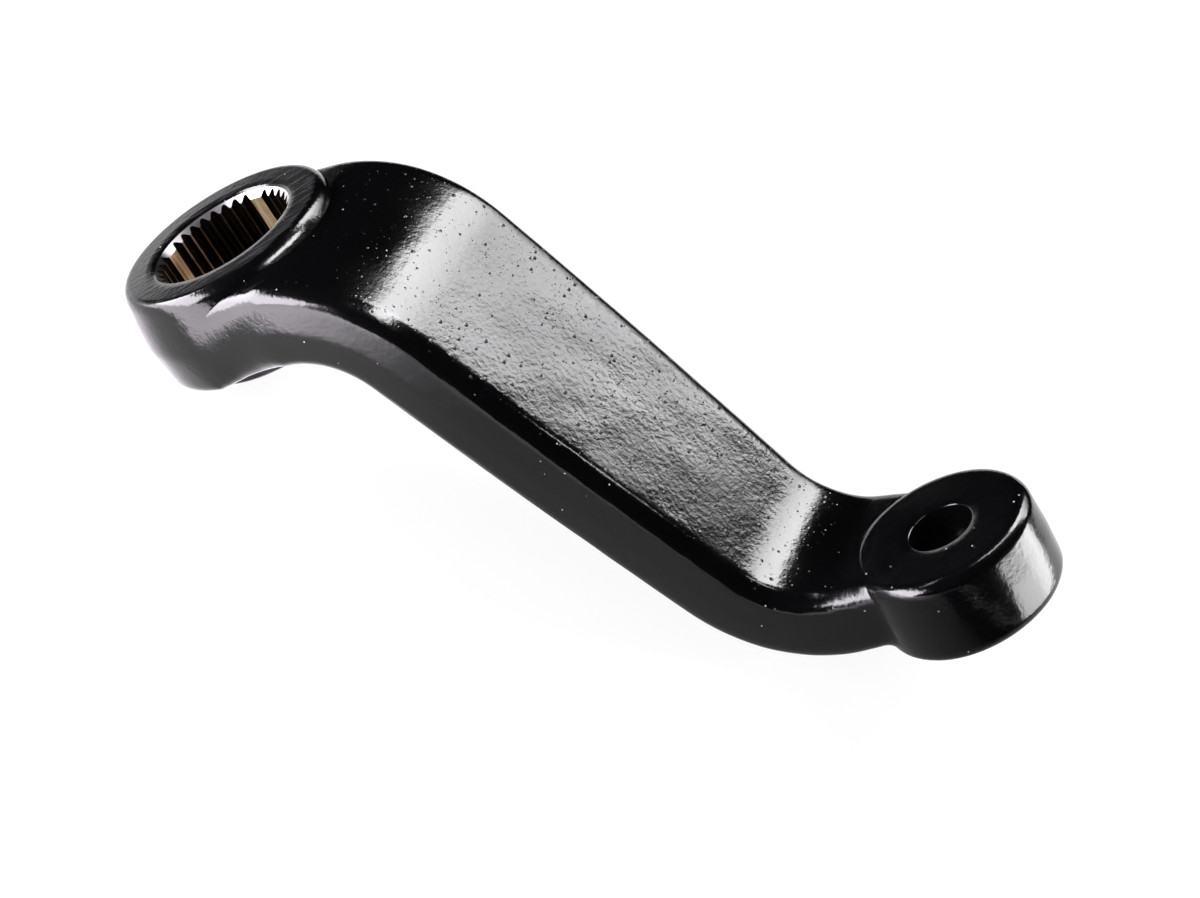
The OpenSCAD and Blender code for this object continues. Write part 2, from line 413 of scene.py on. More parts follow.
def turned_boss(g):
    """The machined part of the boss: its pads, its upper side, and its bore, turned and broached."""
    land = g.land_d / 2
    inside = 0.4 * MM
    lip = land + g.lead_in
    rings = [(land + g.low_lead_in, -g.boss_h), (g.under_pad_d / 2 - inside, -g.boss_h)]
    rings += [(g.under_pad_d / 2, -g.boss_h + inside), (g.under_pad_d / 2, -g.pad_h - 7 * MM)]
    start = g.pad_h + 1.2 * MM
    rings += [(r + 0.04 * min(0, z + start), z) for r, z in boss_side(g) if z > -g.pad_h - 5 * MM]
    rings += [(rings[-1][0] - 0.2 * MM, 0), (lip + g.lip_w + 1.5 * MM, 0), (lip + g.lip_w, 0)]
    rings += [(lip + 0.3 * g.lip_w, -0.5 * g.lip_h), (lip - g.lip_h, -g.lip_h)]
    rings += [(lip - g.paint_in, -g.paint_in)]
    rings += [(land - inside, -g.lead_in - inside), (land - inside, -g.boss_h + g.low_lead_in + inside)]
    boss = turned("boss", 0, rings, 192, True)
    combine(boss, spline_cutter(g), "DIFFERENCE")
    return boss


def eye_core(g):
    """The inside of the eye, which the arm's sides blend into."""
    foot_r = 3 * MM
    radius = g.eye_d / 2 + g.eye_grow - 0.35 * MM
    low = -g.drop - g.eye_h + 0.2 * MM
    rings = rounding(radius - foot_r, low + foot_r, foot_r, -90, 0) + [(radius, -g.drop - 4 * MM)]
    return turned("eye_core", g.centre_distance - g.eye_grow, rings)


def turned_eye(g):
    """The eye at the stud's end, with rounded rims and its tapered hole, which has a worn lip."""
    top = -g.drop
    low = top - g.eye_h
    wall = g.eye_d / 2 + g.eye_grow
    rim = wall - 0.24 * MM
    hole = g.stud_d / 2
    low_hole = hole + g.eye_h * g.stud_taper / 2
    rings = rounding(rim - g.eye_edge_r, low + g.eye_edge_r, g.eye_edge_r, -90, 0)
    for u in (0.2, 0.4, 0.5, 0.6, 0.8):
        bulge = (wall - rim) * (1 - abs(2 * u - 1))
        rings += [(rim + bulge, low + g.eye_edge_r + u * (g.eye_h - 2 * g.eye_edge_r))]
    rings += rounding(rim - g.eye_edge_r, top - g.eye_edge_r, g.eye_edge_r, 0, 90, 10)
    rings += [(rim - g.eye_edge_r - 0.2 * MM, top), (hole + g.lip_w + 2 * MM, top), (hole + g.lip_w, top)]
    rings += [(hole + 0.5 * g.lip_w, top - 0.5 * g.lip_h), (hole + 0.2 * g.lip_w, top - 1.5 * g.lip_h)]
    rings += [(hole, top - 3 * g.lip_h), (low_hole, low + 2 * g.lip_h), (low_hole + 2 * g.lip_h, low)]
    middle = g.centre_distance - g.eye_grow
    eye = turned("eye", middle, rings, 192, True)
    x, y, _ = places(eye.data).T
    pick(eye, np.hypot(x - middle, y) < low_hole + 2.5 * MM)
    bpy.ops.transform.translate(value=(g.eye_grow, 0, 0))
    bpy.ops.object.mode_set(mode="OBJECT")
    wave(eye, g, lambda x, y, z: np.hypot(x - middle, y) > rim - 1 * MM)
    return eye


def well(g, x, radius):
    """What makes room in the forged skin for a turned end."""
    return turned("well", x, [(radius, CAD_LOW.z - 1 * MM), (radius, 1 * MM)])


def spline_cutter(g):
    """What the broach takes out of the boss: a bore with V grooves, a few of them left out."""
    over = 1 * MM
    land = g.land_d / 2
    per_pitch = 12
    bpy.ops.object.select_all(action="DESELECT")
    bpy.ops.mesh.primitive_circle_add(
        vertices=g.positions * per_pitch, radius=land, fill_type="NGON", location=(0, 0, -g.boss_h - over)
    )
    cutter = settle(named("spline_cutter"))
    co = places(cutter.data)
    turn = np.round(np.arctan2(co[:, 1], co[:, 0]) / (2 * math.pi) * g.positions * per_pitch).astype(int)
    pitch = np.floor_divide(turn + per_pitch // 2, per_pitch) % g.positions
    step = np.abs((turn + per_pitch // 2) % per_pitch - per_pitch // 2)
    grooved = pitch % (g.positions // g.blank_lands) != 0
    for away, share in enumerate((1.0, 0.96, 0.82, 0.58, 0.30, 0.09)):
        pick(cutter, grooved & (step == away))
        deep = 1 + share * g.groove_depth / land
        bpy.ops.transform.resize(value=(deep, deep, 1), center_override=(0, 0, -g.boss_h - over))
    bpy.ops.mesh.select_all(action="SELECT")
    bpy.ops.mesh.extrude_region_move(TRANSFORM_OT_translate={"value": (0, 0, g.boss_h + 2 * over)})
    bpy.ops.object.mode_set(mode="OBJECT")
    return settle(cutter)


def soften(arm, g):
    """Smooths the whole skin a little, and its hollows and near long edges a lot, in zones in millimetres."""

    def smooth(chosen, passes):
        pick(arm, chosen)
        bpy.ops.mesh.vertices_smooth(factor=0.5, repeat=passes)
        bpy.ops.object.mode_set(mode="OBJECT")

    smooth(np.ones(len(arm.data.vertices), bool), 4)
    x, y, z = (places(arm.data) / MM).T
    bore_r = np.hypot(x, y)
    eye_r = np.hypot(x - g.centre_distance / MM, y)
    boss_r = g.boss_d / MM / 2
    wall_r = (g.eye_d / 2 + g.eye_grow) / MM
    for spread in (1.0, 0.75, 0.5):
        boss_seam = (np.abs(x - 8) < 9 * spread) & (np.abs(y) > 19) & (z < -6.5)
        edge_seam = (np.abs(x - 11) < 9 * spread) & (y < -18.5) & (z < -2.5) & (z > -12)
        eye_seam = (np.abs(eye_r - wall_r) < 3.0 * spread) & (x < g.centre_distance / MM - 8 + 3 * spread)
        eye_seam &= z < -g.drop / MM - 3.5
        smooth(boss_seam | eye_seam, g.crease_passes // 3)
        smooth(boss_seam, 2 * g.crease_passes)
        smooth(edge_seam, g.crease_passes)
    facing = np.empty(len(arm.data.vertices) * 3, np.float32)
    arm.data.vertex_normals.foreach_get("vector", facing)
    _, side, top = facing.reshape(-1, 3).T
    beside = (y < 0) & (bore_r > boss_r + 1) & (eye_r > wall_r - 1) & (top > 0.12)
    for spread in (1.0, 0.85, 0.7, 0.55):
        edge = beside & (side < 0.4 * spread - 0.5) & (side > -0.94 - 0.04 * spread)
        edge &= (x > 40) | (spread < 0.7)
        smooth(edge, g.crease_passes // 2)


def roughen(arm, g):
    """Gives the forged skin its slight waves, and leaves room for the turned ends."""
    low = CAD_LOW + Vector((1, 1, 1)) * MM

    def forged(x, y, z):
        inside = (z > -g.pad_h - 3 * MM) | (z < 2 * MM - g.boss_h)
        inside &= np.hypot(x, y) < g.boss_d / 2 + 0.4 * MM
        inside |= np.hypot(x - g.centre_distance, y) < g.eye_d / 2 + g.eye_grow + 0.8 * MM
        return ~(inside | (z < low.z) | (x < low.x) | (np.abs(y) > -low.y) | (x > CAD_HIGH.x - 1 * MM))

    wave(arm, g, forged, 0.5)
    pick(arm, np.ones(len(arm.data.vertices), bool))
    bpy.ops.mesh.vertices_smooth(factor=0.5, repeat=2)
    bpy.ops.object.mode_set(mode="OBJECT")


def wave(obj, g, chosen, level=1.0):
    """Moves the chosen part of a skin in slight waves, inwards at level 1."""
    pick(obj, chosen(*places(obj.data).T))
    bpy.ops.object.vertex_group_add()
    group = obj.vertex_groups.active
    group.name = "forged_skin"
    bpy.context.scene.tool_settings.vertex_group_weight = 1.0
    bpy.ops.object.vertex_group_assign()
    bpy.ops.object.mode_set(mode="OBJECT")
    waves = bpy.data.textures.new("forged_waves", "CLOUDS")
    waves.noise_scale = g.wave_length
    waves.noise_depth = 1
    apply_modifier(
        obj,
        "waves",
        "DISPLACE",
        texture=waves,
        texture_coords="LOCAL",
        strength=g.wave_height,
        mid_level=level,
        vertex_group="forged_skin",
    )
    obj.vertex_groups.clear()
    bpy.data.textures.remove(waves)


def new_node(tree, kind, inputs=None, **values):
    """Adds a node, sets its values and its inputs, and links the inputs that are sockets."""
    node = tree.nodes.new(kind)
    for key, value in values.items():
        setattr(node, key, value)
    for key, value in (inputs or {}).items():
        if isinstance(value, bpy.types.NodeSocket):
            tree.links.new(value, node.inputs[key])
        else:
            node.inputs[key].default_value = value
    return node


def maths(tree, operation, *values):
    """The result of one sum on values or sockets."""
    return new_node(tree, "ShaderNodeMath", dict(enumerate(values)), operation=operation).outputs[0]


def noise(tree, place, scale, detail):
    """A cloudy value from 0 to 1."""
    inputs = {"Vector": place, "Scale": scale, "Detail": detail}
    return new_node(tree, "ShaderNodeTexNoise", inputs).outputs[0]


def stretch(tree, place, scale):
    """A place, scaled by its own amount along each axis."""
    return new_node(tree, "ShaderNodeMapping", {"Vector": place, "Scale": scale}).outputs[0]


def ramp(tree, value, low, high, start=0.0, end=1.0):
    """A smooth step of a value from start at low to end at high."""
    inputs = {"Value": value, "From Min": low, "From Max": high, "To Min": start, "To Max": end}
    return new_node(tree, "ShaderNodeMapRange", inputs, interpolation_type="SMOOTHSTEP").outputs[0]


def new_group(name, inputs, outputs):
    """A shader node group with named sockets, and its tree's input and output nodes."""
    tree = bpy.data.node_groups.new(name, "ShaderNodeTree")
    for socket, kind in inputs:
        tree.interface.new_socket(socket, in_out="INPUT", socket_type=kind)
    for socket, kind in outputs:
        tree.interface.new_socket(socket, in_out="OUTPUT", socket_type=kind)
    return tree, tree.nodes.new("NodeGroupInput"), tree.nodes.new("NodeGroupOutput")


def spots(tree, place, scale, size, share):
    """Round spots of a size in a cell pattern, in a share of the cells: 1 in the middle, 0 outside."""
    cells = new_node(tree, "ShaderNodeTexVoronoi", {"Vector": place, "Scale": scale, "Randomness": 1.0})
    split = new_node(tree, "ShaderNodeSeparateColor", {"Color": cells.outputs["Color"]})
    grown = ramp(tree, split.outputs["Red"], 0.0, 1.0, 0.3 * size, size)
    near = maths(tree, "DIVIDE", cells.outputs["Distance"], grown)
    dome = ramp(tree, near, 1.0, 0.0)
    kept = maths(tree, "LESS_THAN", split.outputs["Green"], share)
    return maths(tree, "MULTIPLY", dome, kept)


def paint_skin_group():
    """Wet paint over a forging: orange peel, nibs and dust."""
    tree, source, sink = new_group(
        "Paint Skin",
        [
            ("Place", "NodeSocketVector"),
            ("Peel", "NodeSocketFloat"),
            ("Nibs", "NodeSocketFloat"),
            ("Dust Share", "NodeSocketFloat"),
        ],
        [("Height", "NodeSocketFloat"), ("Dust", "NodeSocketFloat"), ("Roughness", "NodeSocketFloat")],
    )
    place = source.outputs["Place"]
    peel = maths(tree, "MULTIPLY", noise(tree, place, 850.0, 3.0), 0.055)
    runs = maths(tree, "MULTIPLY", noise(tree, place, 190.0, 1.0), 0.04)
    skin = maths(tree, "MULTIPLY", maths(tree, "ADD", peel, runs), source.outputs["Peel"])
    share = ramp(tree, noise(tree, place, 45.0, 1.0), 0.35, 0.6, 0.55, 1.0)
    nibs = maths(tree, "MULTIPLY", spots(tree, place, 460.0, 0.28, share), source.outputs["Nibs"])
    grit = maths(tree, "MULTIPLY", spots(tree, place, 900.0, 0.30, share), source.outputs["Nibs"])
    raised = maths(tree, "ADD", maths(tree, "MULTIPLY", nibs, 0.12), maths(tree, "MULTIPLY", grit, 0.04))
    tree.links.new(maths(tree, "ADD", skin, raised), sink.inputs["Height"])
    dust = spots(tree, place, 330.0, 0.1, source.outputs["Dust Share"])
    dust = maths(tree, "GREATER_THAN", dust, 0.25)
    tree.links.new(dust, sink.inputs["Dust"])
    gloss = ramp(tree, noise(tree, place, 60.0, 3.0), 0.3, 0.7, 0.10, 0.17)
    gloss = maths(tree, "ADD", gloss, maths(tree, "MULTIPLY", maths(tree, "ADD", dust, nibs), 0.45))
    tree.links.new(gloss, sink.inputs["Roughness"])
    return tree


def new_material(name):
    """A material with a Principled shader, and its tree and shader."""
    material = bpy.data.materials.new(name)
    material.use_nodes = True
    tree = material.node_tree
    return material, tree, tree.nodes["Principled BSDF"]


def object_place(tree):
    """Object coordinates."""
    return new_node(tree, "ShaderNodeTexCoord").outputs["Object"]


def bump(tree, height, shader):
    """Raises the surface by a height in millimetres."""
    node = new_node(tree, "ShaderNodeBump", {"Height": height, "Distance": MM, "Strength": 1.0})
    tree.links.new(node.outputs[0], shader.inputs["Normal"])


def dusty_paint(name, finish, skin, peel, nibs, dust_share, marks=None):
    """Gloss black paint, over the marks that a function of the tree and the place gives."""
    material, tree, shader = new_material(name)
    place = object_place(tree)
    group = new_node(tree, "ShaderNodeGroup", node_tree=skin)
    tree.links.new(place, group.inputs["Place"])
    group.inputs["Peel"].default_value = peel
    group.inputs["Dust Share"].default_value = dust_share
    if callable(nibs):
        tree.links.new(nibs(tree, place), group.inputs["Nibs"])
    else:
        group.inputs["Nibs"].default_value = nibs
    blend = new_node(tree, "ShaderNodeMix", data_type="RGBA")
    tree.links.new(group.outputs["Dust"], blend.inputs["Factor"])
    blend.inputs[6].default_value = (*finish.paint, 1)
    blend.inputs[7].default_value = (*finish.dust, 1)
    tree.links.new(blend.outputs[2], shader.inputs["Base Color"])
    roughness = group.outputs["Roughness"]
    height = group.outputs["Height"]
    if marks:
        depth = marks(tree, place)
        bare = new_node(tree, "ShaderNodeMix", data_type="RGBA")
        tree.links.new(ramp(tree, depth, 0.48, 0.72), bare.inputs["Factor"])
        bare.inputs[6].default_value = (*finish.paint, 1)
        bare.inputs[7].default_value = (*finish.thin_paint, 1)
        tree.links.new(bare.outputs[2], blend.inputs[6])
        roughness = maths(tree, "ADD", roughness, ramp(tree, depth, 0.3, 0.7, -0.07, 0.02))
        height = maths(tree, "ADD", height, maths(tree, "MULTIPLY", depth, 0.028))
    tree.links.new(roughness, shader.inputs["Roughness"])
    shader.inputs["IOR"].default_value = 1.5
    bump(tree, height, shader)
    return material


def upper_side(tree, place):
    """1 on the arm's upper side between the boss and the eye, 0 elsewhere."""
    facing = new_node(tree, "ShaderNodeNewGeometry")
    turn = new_node(
        tree,
        "ShaderNodeVectorMath",
        {0: facing.outputs["Normal"], 1: (0.75, 0.0, 0.66)},
        operation="DOT_PRODUCT",
    )
    split = new_node(tree, "ShaderNodeSeparateXYZ", {0: place})
    up = ramp(tree, turn.outputs["Value"], 0.72, 0.9)
    start = ramp(tree, split.outputs[0], 0.022, 0.034, 0.2, 1.0)
    end = ramp(tree, split.outputs[0], 0.112, 0.088, 0.1, 1.0)
    return maths(tree, "MULTIPLY", up, maths(tree, "MULTIPLY", start, end))


def milled_streaks(tree, place):
    """Fine slanted marks across the pad, which the paint has half filled."""
    slant = (0.0, 0.0, math.radians(-40))
    slanted = new_node(tree, "ShaderNodeMapping", {"Vector": place, "Rotation": slant}).outputs[0]
    return noise(tree, stretch(tree, slanted, (110.0, 900.0, 40.0)), 1.0, 3.0)


def bore_steel(name, finish, g):
    """Broached steel: bright at the lead-in but darkened towards the near side as painted shade, brown on the
    lands, lighter on the blank lands as painted sheen, and black in the grooves between as painted shade.
    """
    material, tree, shader = new_material(name)
    place = object_place(tree)
    split = new_node(tree, "ShaderNodeSeparateXYZ", {0: place})
    flat = new_node(tree, "ShaderNodeCombineXYZ", {0: split.outputs[0], 1: split.outputs[1]})
    radius = new_node(tree, "ShaderNodeVectorMath", {0: flat.outputs[0]}, operation="LENGTH").outputs["Value"]
    land = g.land_d / 2
    # Deep marks the grooves, which are coloured near black as painted shade.
    deep = ramp(tree, radius, land + 0.02 * MM, land + 0.14 * MM)
    cone_r = maths(tree, "SUBTRACT", radius, maths(tree, "ADD", split.outputs[2], land + g.lead_in))
    on_cone = ramp(tree, maths(tree, "ABSOLUTE", cone_r), 0.06 * MM, 0.03 * MM)
    # Painted shade: the lead-in's bare steel fades from full brightness where y is above 1 mm to 0.04 where y
    # is below -3 mm, towards the near side.
    near_side_painted_shade = ramp(tree, split.outputs[1], 1 * MM, -3 * MM, 1.0, 0.04)
    drawn = noise(tree, stretch(tree, place, (2400.0, 2400.0, 60.0)), 1.0, 2.0)
    oily = ramp(tree, noise(tree, flat.outputs[0], 120.0, 0.0), 0.4, 0.6, 0.12, 0.8)
    # Painted sheen: the colour of the four wide blank lands, near the axes, is raised well above that of the
    # thin lands.
    turn = maths(tree, "ABSOLUTE", maths(tree, "MULTIPLY", split.outputs[0], split.outputs[1]))
    turn = maths(tree, "DIVIDE", turn, maths(tree, "MULTIPLY", radius, radius))
    blank_land_sheen = ramp(tree, turn, 0.15, 0.12, 0.0, 1.5)
    shine = maths(tree, "MULTIPLY", maths(tree, "ADD", oily, blank_land_sheen), drawn)
    land_mix = new_node(tree, "ShaderNodeMix", data_type="RGBA", blend_type="MULTIPLY")
    land_mix.inputs["Factor"].default_value = 1.0
    land_mix.inputs[6].default_value = (*finish.oiled_steel, 1)
    tree.links.new(maths(tree, "MULTIPLY", shine, 1.8), land_mix.inputs[7])
    groove_shade_mix = new_node(tree, "ShaderNodeMix", data_type="RGBA")
    tree.links.new(deep, groove_shade_mix.inputs["Factor"])
    tree.links.new(land_mix.outputs[2], groove_shade_mix.inputs[6])
    groove_shade_mix.inputs[7].default_value = (*finish.groove, 1)
    cone_mix = new_node(tree, "ShaderNodeMix", data_type="RGBA")
    tree.links.new(on_cone, cone_mix.inputs["Factor"])
    tree.links.new(groove_shade_mix.outputs[2], cone_mix.inputs[6])
    lead_in_steel_shaded = new_node(tree, "ShaderNodeMix", data_type="RGBA", blend_type="MULTIPLY")
    lead_in_steel_shaded.inputs["Factor"].default_value = 1.0
    lead_in_steel_shaded.inputs[6].default_value = (*finish.bare_steel, 1)
    tree.links.new(near_side_painted_shade, lead_in_steel_shaded.inputs[7])
    tree.links.new(lead_in_steel_shaded.outputs[2], cone_mix.inputs[7])
    tree.links.new(cone_mix.outputs[2], shader.inputs["Base Color"])
    shader.inputs["Metallic"].default_value = 1.0
    worn = ramp(tree, noise(tree, place, 300.0, 3.0), 0.3, 0.7, 0.30, 0.42)
    tree.links.new(worn, shader.inputs["Roughness"])
    bump(tree, maths(tree, "MULTIPLY", drawn, 0.003), shader)
    return material


def finish_faces(arm, g, finish):
    """Gives each zone of the arm its material."""
    skin = paint_skin_group()
    forged = dusty_paint("gloss_black_paint", finish, skin, 1.0, upper_side, 0.6)
    pad = dusty_paint("paint_over_milled_pad", finish, skin, 0.5, 0.0, 0.3, milled_streaks)
    bore = bore_steel("broached_steel", finish, g)
    for material in (forged, pad, bore):
        arm.data.materials.append(material)
    pad_r = g.pad_d / 2 - 0.9 * MM
    bore_r = g.land_d / 2 + g.lead_in - g.paint_in - 0.05 * MM
    for face in arm.data.polygons:
        x, y, z = face.center
        r = math.hypot(x, y)
        if r < bore_r and z > -g.boss_h - 0.2 * MM and (abs(face.normal.z) < 0.995):
            face.material_index = 2
        elif r < pad_r and abs(face.normal.z) > 0.95 and (z > -0.3 * MM or z < -g.boss_h + 0.3 * MM):
            face.material_index = 1


class PITMAN_OT_make_arm(Operator):
    """Models the forged arm, cuts its bores and paints it"""

    bl_idname = "pitman.make_arm"
    bl_label = "Make Pitman Arm"

    def execute(self, context):
        g = context.scene.pitman_forging
        arm = forged_bar(g)
        arm.name = "forged_arm"
        arm.data.name = "forged_arm"
        for core in (boss_core(g), eye_core(g)):
            combine(arm, core, "UNION")
        apply_modifier(arm, "skin", "REMESH", mode="VOXEL", voxel_size=g.grain)
        soften(arm, g)
        roughen(arm, g)
        boss_well_r = g.under_pad_d / 2 - 1.5 * MM
        eye_well_r = 14 * MM
        combine(arm, well(g, 0, boss_well_r), "DIFFERENCE")
        combine(arm, turned_boss(g), "UNION")
        combine(arm, well(g, g.centre_distance, eye_well_r), "DIFFERENCE")
        combine(arm, turned_eye(g), "UNION")
        if places(arm.data)[:, 2].max() > 0.1 * MM:
            raise RuntimeError("the bores could not be cut out of the forging")
        arm.data.materials.clear()
        finish_faces(arm, g, context.scene.pitman_finish)
        only(arm)
        bpy.ops.object.shade_smooth_by_angle(angle=math.radians(32))
        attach(arm, "root")
        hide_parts(NODE)
        return {"FINISHED"}


def floor_frame(points):
    """The floor that the arm lies on: its directions along, across and up, and its height."""
    best = None
    for step in range(400):
        tilt = math.radians(30 + step * 0.05)
        up = np.array([math.sin(tilt), 0, math.cos(tilt)])
        along = np.array([math.cos(tilt), 0, -math.sin(tilt)])
        heights = points @ up
        low = heights.min()
        resting = points[heights < low + 0.25 * MM] @ along
        spread = np.ptp(resting)
        if best is None or spread > best[0]:
            best = (spread, tilt, low)
    _, tilt, low = best
    up = Vector((math.sin(tilt), 0, math.cos(tilt)))
    along = Vector((math.cos(tilt), 0, -math.sin(tilt)))
    return along, Vector((0, 1, 0)), up, low


def seen_directly(tree):
    """1 for rays from the camera, from a mirror or through glass, 0 for the rest."""
    path = new_node(tree, "ShaderNodeLightPath")
    seen = maths(tree, "MAXIMUM", path.outputs["Is Camera Ray"], path.outputs["Is Glossy Ray"])
    return maths(tree, "MAXIMUM", seen, path.outputs["Is Transmission Ray"])


def add_floor(stage, along, across, up, low):
    """A pale floor, which is clear from beneath."""
    bpy.ops.object.select_all(action="DESELECT")
    bpy.ops.mesh.primitive_plane_add(size=2.6)
    floor = named("floor")
    turn = Matrix((along, across, up)).transposed().to_4x4()
    middle = along * 0.08
    floor.matrix_world = Matrix.Translation(middle + up * low) @ turn
    material = bpy.data.materials.new("pale_floor")
    material.use_nodes = True
    tree = material.node_tree
    tree.nodes.clear()
    plain = new_node(tree, "ShaderNodeBsdfDiffuse", {"Color": (*stage.floor_colour, 1)})
    glow = new_node(tree, "ShaderNodeEmission", {"Color": (1, 1, 1, 1), "Strength": 1.09})
    lift = maths(tree, "MULTIPLY", seen_directly(tree), stage.floor_glow)
    top = new_node(tree, "ShaderNodeMixShader", {0: lift, 1: plain.outputs[0], 2: glow.outputs[0]})
    clear = new_node(tree, "ShaderNodeBsdfTransparent")
    side = new_node(tree, "ShaderNodeNewGeometry")
    both = new_node(
        tree, "ShaderNodeMixShader", {0: side.outputs["Backfacing"], 1: top.outputs[0], 2: clear.outputs[0]}
    )
    sink = new_node(tree, "ShaderNodeOutputMaterial")
    tree.links.new(both.outputs[0], sink.inputs["Surface"])
    floor.data.materials.append(material)


def card(name, target, way, distance, width, height, up, roll=0.0):
    """A flat card that faces the target from a direction, rolled about that direction."""
    bpy.ops.object.select_all(action="DESELECT")
    bpy.ops.mesh.primitive_plane_add(size=1)
    obj = named(name)
    back = way.normalized()
    side = up.cross(back).normalized()
    top = back.cross(side)
    turn = Matrix((side, top, back)).transposed().to_4x4()
    turn = turn @ Matrix.Rotation(math.radians(roll), 4, "Z")
    place = Matrix.Translation(target + back * distance)
    obj.matrix_world = place @ turn @ Matrix.Diagonal((width, height, 1, 1))
    obj.visible_camera = False
    return obj


def faded_edges(tree, soft):
    """A share that falls from 1 to 0 towards the edges of a card, and the height on the card."""
    split = new_node(tree, "ShaderNodeSeparateXYZ", {0: object_place(tree)})
    fades = [ramp(tree, maths(tree, "ABSOLUTE", split.outputs[i]), 0.5, 0.5 - soft[i]) for i in (0, 1)]
    return maths(tree, "MULTIPLY", *fades), split.outputs[1]


def softbox_material(name, glow_strength, soft, foot, tint):
    """A glowing card that thins out towards its edges, and fades towards its foot to a share of its glow."""
    material = bpy.data.materials.new(name)
    material.use_nodes = True
    tree = material.node_tree
    tree.nodes.clear()
    fade, height = faded_edges(tree, soft)
    slant = ramp(tree, height, -0.5, 0.3, foot * glow_strength, glow_strength)
    glow = new_node(tree, "ShaderNodeEmission", {"Color": (*tint, 1), "Strength": slant})
    clear = new_node(tree, "ShaderNodeBsdfTransparent")
    both = new_node(tree, "ShaderNodeMixShader", {0: fade, 1: clear.outputs[0], 2: glow.outputs[0]})
    sink = new_node(tree, "ShaderNodeOutputMaterial")
    tree.links.new(both.outputs[0], sink.inputs["Surface"])
    return material


def black_cloth(name, soft=None, strength=1.0):
    """Black cloth. With soft edges it has a strength, and thins out towards them."""
    material, tree, shader = new_material(name)
    shader.inputs["Base Color"].default_value = (0.0, 0.0, 0.0, 1)
    shader.inputs["Specular IOR Level"].default_value = 0.0
    shader.inputs["Roughness"].default_value = 1.0
    if soft is not None:
        fade = faded_edges(tree, (soft, soft))[0]
        tree.links.new(maths(tree, "MULTIPLY", fade, strength), shader.inputs["Alpha"])
    return material


def hide_from_light(obj):
    """Leaves an object to be seen by mirrored rays only."""
    obj.visible_camera = False
    obj.visible_diffuse = False
    obj.visible_shadow = False


def add_drape(along, across, up, low):
    """Black cloth round the studio and on parts of the floor, which only mirrored rays see. The half-strength
    sheet on the floor in front of the arm is painted shadow, darkening the floor there in reflections.
    """
    bpy.ops.object.select_all(action="DESELECT")
    bpy.ops.mesh.primitive_uv_sphere_add(segments=32, ring_count=16, radius=1.6)
    drape = named("drape")
    turn = Matrix((along, across, up)).transposed().to_4x4()
    drape.matrix_world = Matrix.Translation(along * 0.08 + up * low) @ turn
    drape.data.materials.append(black_cloth("drape"))
    cloths = [drape]
    # name, place along and across, width, depth, soft edges, strength
    for name, x, y, width, depth, soft, strength in (
        ("far_cloth", 0.0, 0.87, 1.8, 1.2, 0.083, 1.0),
        ("right_cloth", 0.44, -0.28, 0.66, 0.7, 0.2, 1.0),
        ("left_cloth", -0.33, 0.25, 0.5, 0.5, 0.12, 0.9),
        # Painted shadow: a half-dark sheet on the floor in front of the arm, seen only in reflections.
        ("near_floor_painted_shadow", 0.13, -0.05, 0.26, 0.14, 0.3, 0.55),
    ):
        bpy.ops.object.select_all(action="DESELECT")
        bpy.ops.mesh.primitive_plane_add(size=1)
        cloth = named(name)
        place = along * x + across * y + up * (low + 1 * MM)
        cloth.matrix_world = Matrix.Translation(place) @ turn @ Matrix.Diagonal((width, depth, 1, 1))
        cloth.data.materials.append(black_cloth(name, soft, strength))
        cloths.append(cloth)
    for cloth in cloths:
        hide_from_light(cloth)


def white_world():
    """White behind everything, and little light from it."""
    world = bpy.data.worlds.new("studio")
    world.use_nodes = True
    tree = world.node_tree
    tree.nodes.clear()
    white = new_node(tree, "ShaderNodeBackground", {"Color": (1, 1, 1, 1), "Strength": 1.0})
    dim = new_node(tree, "ShaderNodeBackground", {"Color": (1, 1, 1, 1), "Strength": 0.12})
    seen = seen_directly(tree)
    both = new_node(tree, "ShaderNodeMixShader", {0: seen, 1: dim.outputs[0], 2: white.outputs[0]})
    sink = new_node(tree, "ShaderNodeOutputWorld")
    tree.links.new(both.outputs[0], sink.inputs["Surface"])
    bpy.context.scene.world = world


def add_camera():
    """The camera at the photograph's place: columns right, up and back, then the place."""
    data = bpy.data.cameras.new("camera")
    camera = bpy.data.objects.new("camera", data)
    bpy.context.scene.collection.objects.link(camera)
    right = Vector((0.80683, 0.35396, -0.47300))
    up = Vector((0.16332, 0.63581, 0.75437))
    back = Vector((0.56776, -0.68590, 0.45518))
    turn = Matrix((right, up, back)).transposed().to_4x4()
    camera.matrix_world = Matrix.Translation((0.46367, -0.48991, 0.25024)) @ turn
    data.sensor_width = 36.0
    data.sensor_fit = "HORIZONTAL"
    data.lens = 98.65
    data.clip_start = 0.01
    bpy.context.scene.camera = camera


